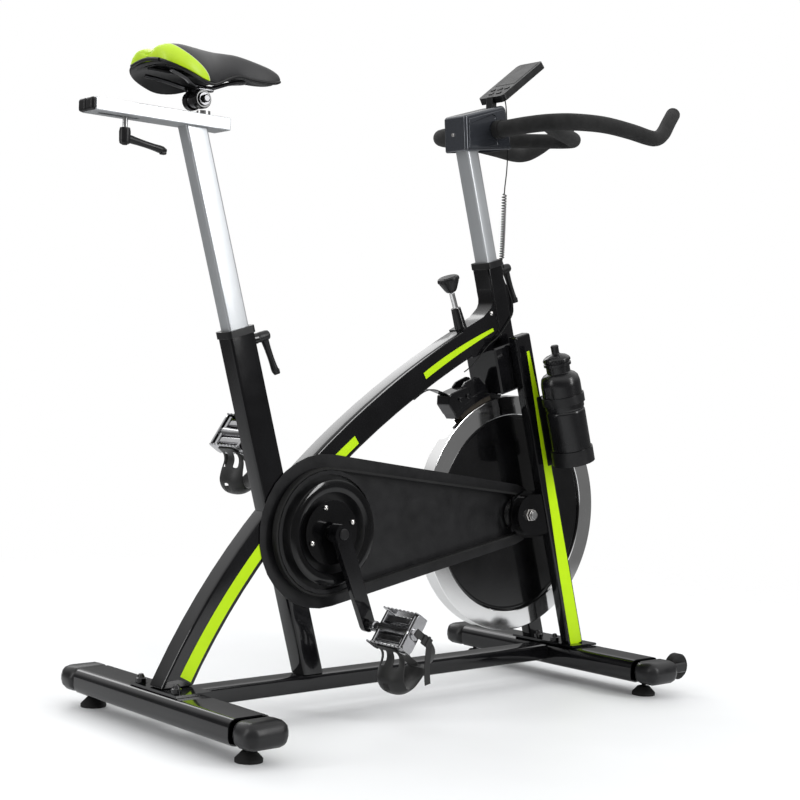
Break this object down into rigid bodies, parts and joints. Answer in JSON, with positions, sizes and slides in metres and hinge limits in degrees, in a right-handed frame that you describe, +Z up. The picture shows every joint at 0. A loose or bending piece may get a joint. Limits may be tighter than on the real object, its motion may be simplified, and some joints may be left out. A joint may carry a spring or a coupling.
{
  "type": "exercise bike",
  "caption": "Indoor cycling bike with a curved black frame, a chromed flywheel in a braced fork, a belt guard, sliding seat and bar posts, caged pedals, a bottle and a small console.",
  "frame": {"origin": "centre of the bounding box on the floor plane, under the feet", "axes": "+X is the bike's front, -Y is the side of the belt guard, +Z is up"},
  "size_m": [1.2134, 0.5626, 1.1806],
  "materials": {
    "frame_paint": "gloss black powder coat",
    "post_silver": "satin silver coat",
    "cap_plastic": "satin moulded black",
    "guard_gloss": "high gloss black",
    "console_grey": "gloss dark grey",
    "rubber_black": "matt rubber",
    "bar_foam": "soft foam sleeve over steel",
    "flywheel_chrome": "polished rim",
    "plain_steel": "machined steel",
    "pedal_alloy": "cast and polished",
    "saddle_cover": "synthetic leather over foam"
  },
  "bodies": {
    "frame": {"main_tube": "frame_paint", "seat_tube": "frame_paint", "seat_strut": "frame_paint", "head_tube": "frame_paint", "fork_leg_right": "frame_paint", "fork_leg_left": "frame_paint", "base_rail": "frame_paint", "rear_stabilizer": "frame_paint", "front_stabilizer": "frame_paint", "rear_end_cap_right": "cap_plastic", "rear_end_cap_left": "cap_plastic", "front_end_cap_right": "cap_plastic", "front_end_cap_left": "cap_plastic", "rear_mount_plate": "frame_paint", "front_mount_plate": "frame_paint", "belt_guard_outer": "guard_gloss", "belt_guard_inner": "cap_plastic", "crank_cover": "guard_gloss", "drive_belt": "rubber_black", "flywheel_axle": "plain_steel", "bottle_cage": "cap_plastic", "cable_lower": "rubber_black"},
    "rear_foot_right": {"rear_foot_right": "rubber_black"},
    "rear_foot_left": {"rear_foot_left": "rubber_black"},
    "front_foot_right": {"front_foot_right": "rubber_black"},
    "front_foot_left": {"front_foot_left": "rubber_black"},
    "transport_wheel_right": {"transport_wheel_right": "rubber_black"},
    "transport_wheel_left": {"transport_wheel_left": "rubber_black"},
    "flywheel": {"flywheel": "flywheel_chrome", "flywheel_pulley": "plain_steel"},
    "crank": {"crank_axle": "plain_steel", "crank_pulley": "cap_plastic", "crank_arm_right": "frame_paint", "crank_arm_left": "frame_paint"},
    "pedal_right": {"pedal_right": "pedal_alloy", "toe_clip_right": "cap_plastic"},
    "pedal_left": {"pedal_left": "pedal_alloy", "toe_clip_left": "cap_plastic"},
    "seat_post": {"seat_post": "post_silver", "seat_rail": "post_silver"},
    "seat_carriage": {"seat_carriage": "plain_steel"},
    "seat_rail_lever": {"seat_rail_lever": "cap_plastic"},
    "saddle": {"saddle_clamp": "frame_paint", "saddle_rails": "plain_steel", "saddle_base": "cap_plastic", "saddle_pad": "saddle_cover"},
    "seat_post_lever": {"seat_post_lever": "cap_plastic"},
    "head_lever": {"head_lever": "cap_plastic"},
    "handlebar_post": {"handlebar_post": "post_silver", "stem_cover": "console_grey", "handlebar": "bar_foam", "console": "console_grey", "cable_upper": "rubber_black", "cable_coil": "rubber_black"},
    "tension_rod": {"tension_rod": "pedal_alloy"},
    "tension_knob": {"tension_knob": "cap_plastic"},
    "brake": {"brake_arm": "frame_paint", "brake_pad": "rubber_black"},
    "bottle": {"bottle": "cap_plastic"},
    "bottle_cap": {"bottle_cap": "cap_plastic"}
  },
  "joints": [
    {"name": "rear_foot_right_screw", "type": "hinge", "parent": "frame", "child": "rear_foot_right", "pos_m": [-0.4356, -0.226, 0.012], "axis": [0, 0, 1], "continuous": true},
    {"name": "rear_foot_left_screw", "type": "hinge", "parent": "frame", "child": "rear_foot_left", "pos_m": [-0.4356, 0.226, 0.012], "axis": [0, 0, 1], "continuous": true},
    {"name": "front_foot_right_screw", "type": "hinge", "parent": "frame", "child": "front_foot_right", "pos_m": [0.4614, -0.226, 0.012], "axis": [0, 0, 1], "continuous": true},
    {"name": "front_foot_left_screw", "type": "hinge", "parent": "frame", "child": "front_foot_left", "pos_m": [0.4614, 0.226, 0.012], "axis": [0, 0, 1], "continuous": true},
    {"name": "transport_wheel_right_spin", "type": "hinge", "parent": "frame", "child": "transport_wheel_right", "pos_m": [0.5264, -0.248, 0.05], "axis": [0, 1, 0], "continuous": true},
    {"name": "transport_wheel_left_spin", "type": "hinge", "parent": "frame", "child": "transport_wheel_left", "pos_m": [0.5264, 0.248, 0.05], "axis": [0, 1, 0], "continuous": true},
    {"name": "flywheel_spin", "type": "hinge", "parent": "frame", "child": "flywheel", "pos_m": [0.3164, 0, 0.3243], "axis": [0, 1, 0], "continuous": true},
    {"name": "crank_spin", "type": "hinge", "parent": "frame", "child": "crank", "pos_m": [-0.1476, 0, 0.309], "axis": [0, 1, 0], "continuous": true},
    {"name": "pedal_right_spin", "type": "hinge", "parent": "crank", "child": "pedal_right", "pos_m": [-0.08254, -0.145, 0.15194], "axis": [0, 1, 0], "continuous": true},
    {"name": "pedal_left_spin", "type": "hinge", "parent": "crank", "child": "pedal_left", "pos_m": [-0.21266, 0.145, 0.46606], "axis": [0, 1, 0], "continuous": true},
    {"name": "seat_post_slide", "type": "slide", "parent": "frame", "child": "seat_post", "axis": [-0.284, 0, 0.9588], "range_m": [-0.16, 0.04]},
    {"name": "seat_carriage_slide", "type": "slide", "parent": "seat_post", "child": "seat_carriage", "axis": [1, 0, 0], "range_m": [-0.04, 0.015]},
    {"name": "seat_rail_lever_turn", "type": "hinge", "parent": "seat_carriage", "child": "seat_rail_lever", "pos_m": [-0.5416, 0, 0.935], "axis": [0, 0, 1], "range_deg": [-75, 75]},
    {"name": "saddle_tilt", "type": "hinge", "parent": "seat_carriage", "child": "saddle", "pos_m": [-0.4131, 0, 1.003], "axis": [0, 1, 0], "range_deg": [-8, 8]},
    {"name": "seat_post_lever_turn", "type": "hinge", "parent": "frame", "child": "seat_post_lever", "pos_m": [-0.27564, 0, 0.63277], "axis": [0.9588, 0, 0.284], "range_deg": [-75, 75]},
    {"name": "head_lever_turn", "type": "hinge", "parent": "frame", "child": "head_lever", "pos_m": [0.28108, 0, 0.7837], "axis": [0.9588, 0, 0.284], "range_deg": [-75, 75]},
    {"name": "handlebar_post_slide", "type": "slide", "parent": "frame", "child": "handlebar_post", "axis": [-0.284, 0, 0.9588], "range_m": [-0.08, 0.04], "deforming": ["cable_coil"]},
    {"name": "tension_rod_press", "type": "slide", "parent": "frame", "child": "tension_rod", "axis": [0.3746, 0, -0.9272], "range_m": [0, 0.0012], "stiffness_N_per_m": 1500, "springref_m": -0.005},
    {"name": "tension_knob_turn", "type": "hinge", "parent": "tension_rod", "child": "tension_knob", "pos_m": [0.1481, 0, 0.74354], "axis": [-0.3746, 0, 0.9272], "range_deg": [-540, 540]},
    {"name": "brake_arm_swing", "type": "hinge", "parent": "frame", "child": "brake", "pos_m": [0.0944, 0, 0.5545], "axis": [0, 1, 0], "range_deg": [0, 0.75]},
    {"name": "bottle_lift", "type": "slide", "parent": "frame", "child": "bottle", "axis": [-0.284, 0, 0.9588], "range_m": [0, 0.12]},
    {"name": "bottle_cap_turn", "type": "hinge", "parent": "bottle", "child": "bottle_cap", "pos_m": [0.32684, -0.1055, 0.61161], "axis": [-0.284, 0, 0.9588], "range_deg": [-180, 180]}
  ],
  "couplings": [
    {"joint": "crank_spin", "follows": "flywheel_spin", "ratio": 0.32381},
    {"joint": "brake_arm_swing", "follows": "tension_rod_press", "rad_per_m": 9}
  ]
}
